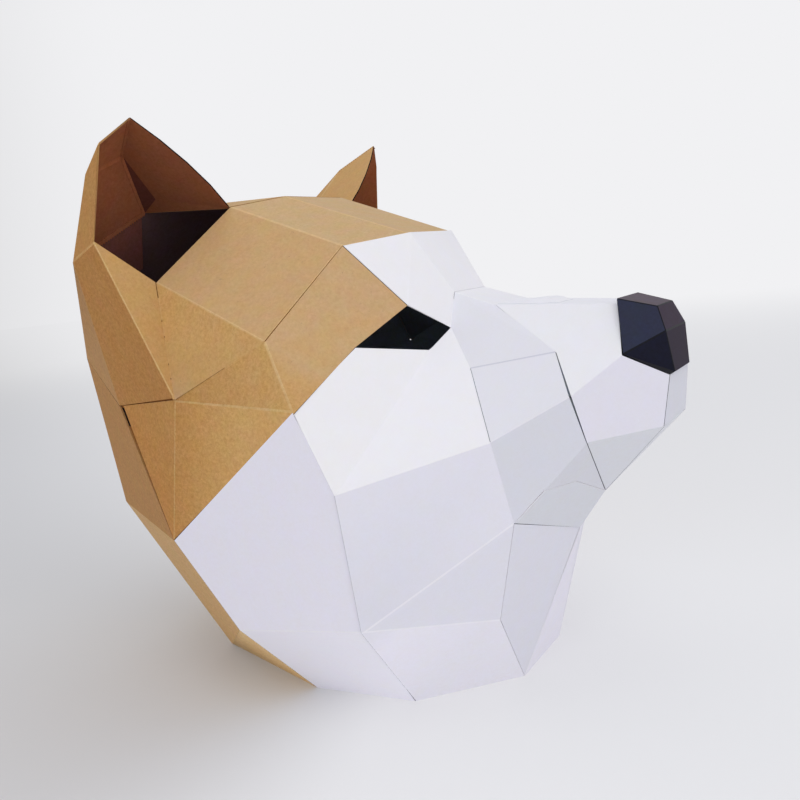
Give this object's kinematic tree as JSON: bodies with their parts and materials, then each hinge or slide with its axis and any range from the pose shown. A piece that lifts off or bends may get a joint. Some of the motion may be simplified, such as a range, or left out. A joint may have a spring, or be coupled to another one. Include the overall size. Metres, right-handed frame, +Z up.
{
  "type": "paper animal mask",
  "caption": "Full-head dog mask of flat folded card panels, brown above and white on the face, with upright ears, open eyes, a black nose and an open neck.",
  "frame": {"origin": "middle of the bounding box, on the flat neck rim", "axes": "+Z up out of the head, -Y along the muzzle to the nose, +X to the dog's left; the mask mirrors across the YZ plane"},
  "size_m": [0.2952, 0.383, 0.3503],
  "materials": {
    "kraft_card": "uncoated brown kraft card with fine fibre flecks",
    "white_card": "smooth uncoated white card",
    "black_card": "smooth black card with a faint sheen"
  },
  "bodies": {
    "root": {"crown": "kraft_card", "crown_back": "kraft_card", "temple_right": "kraft_card", "temple_left": "kraft_card", "ear_side_right": "kraft_card", "ear_side_left": "kraft_card", "ear_inner_right": "kraft_card", "ear_inner_left": "kraft_card", "head_back": "kraft_card", "forehead": "white_card", "muzzle_band": "white_card", "muzzle_top": "white_card", "chin": "white_card", "cheek_right": "white_card", "cheek_left": "white_card", "jowl_right": "white_card", "jowl_left": "white_card", "jaw": "white_card", "throat": "white_card", "nose": "black_card"}
  },
  "joints": []
}
